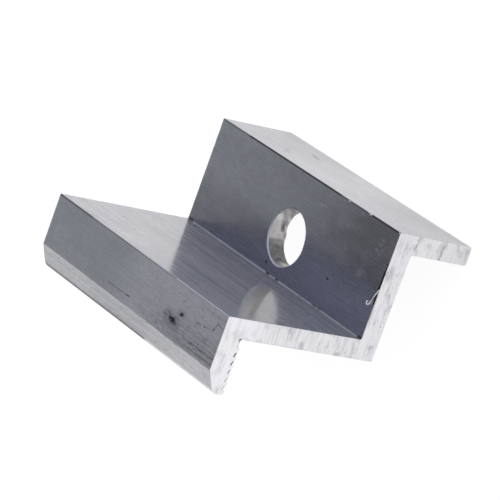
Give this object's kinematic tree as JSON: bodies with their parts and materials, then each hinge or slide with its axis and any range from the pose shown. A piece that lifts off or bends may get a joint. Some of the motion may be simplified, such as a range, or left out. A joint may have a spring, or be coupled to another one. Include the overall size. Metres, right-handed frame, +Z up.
{
  "type": "solar end clamp",
  "caption": "Z-shaped aluminium end clamp for a solar module: a toothed lip, a riser, a drilled plate for the bolt and a foot that stands on the rail.",
  "frame": {"origin": "on the axis of the bolt hole, in the face of the plate that the bolt's head bears on", "axes": "+Z up along the bolt, away from the rail; +Y towards the module, the way the lip points; +X along the extrusion's length"},
  "size_m": [0.05, 0.0287, 0.0382],
  "materials": {
    "aluminium": "mill finish with fine extrusion lines, ends bare from the saw"
  },
  "bodies": {
    "root": {"end_clamp": "aluminium"}
  },
  "joints": []
}
